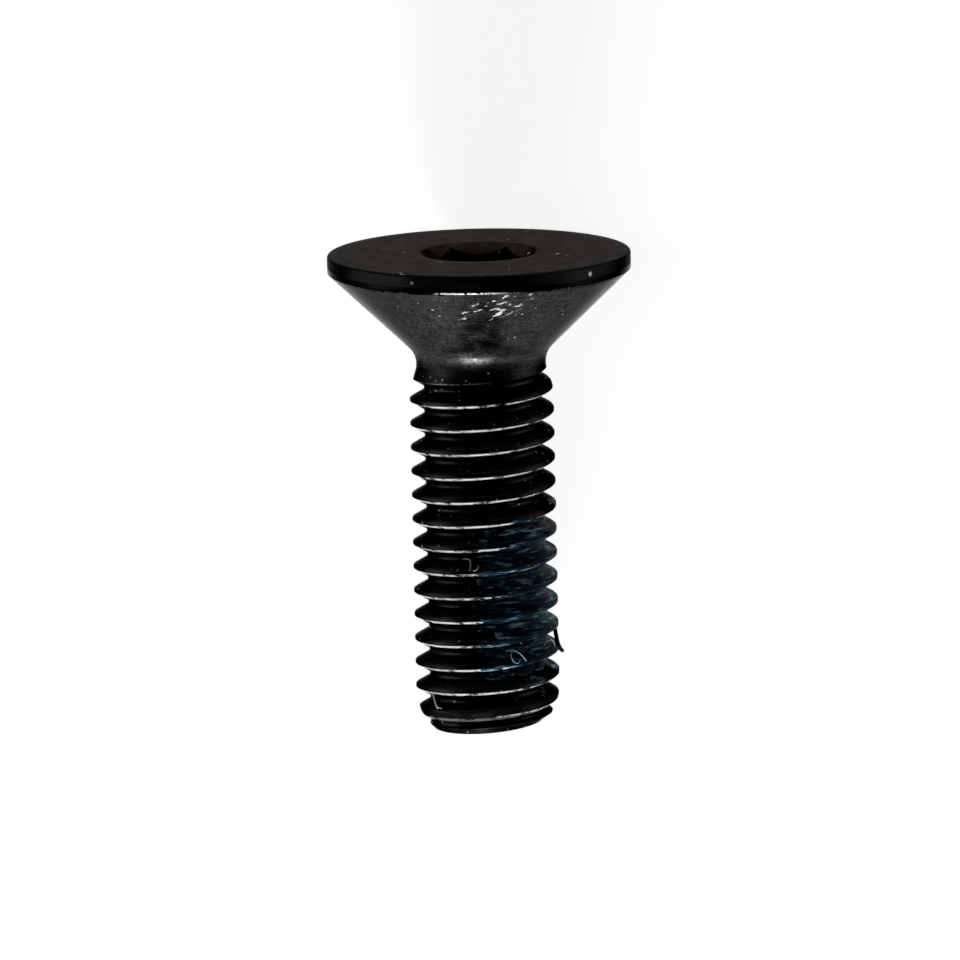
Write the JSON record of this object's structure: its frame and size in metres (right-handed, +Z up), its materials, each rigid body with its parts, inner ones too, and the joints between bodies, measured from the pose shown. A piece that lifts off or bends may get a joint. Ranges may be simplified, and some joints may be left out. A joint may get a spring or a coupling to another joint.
{
  "type": "countersunk socket machine screw",
  "caption": "Black countersunk machine screw with a hexagon socket, a right-hand metric thread and a blue nylon locking patch, lying at rest.",
  "frame": {"origin": "centre of the bounding box at its base, on the surface the screw lies on", "axes": "+X along the screw towards the flat of its head, which the axis climbs towards by 10.5 degrees; +Z up from the surface; +Y to the left when looking along +X"},
  "size_m": [0.021, 0.0125, 0.0124],
  "materials": {
    "black_steel": "satin black oxide, lightly oiled",
    "blue_nylon": "translucent nylon film fused on the thread"
  },
  "bodies": {
    "root": {"screw": "black_steel", "locking_patch": "blue_nylon"}
  },
  "joints": []
}
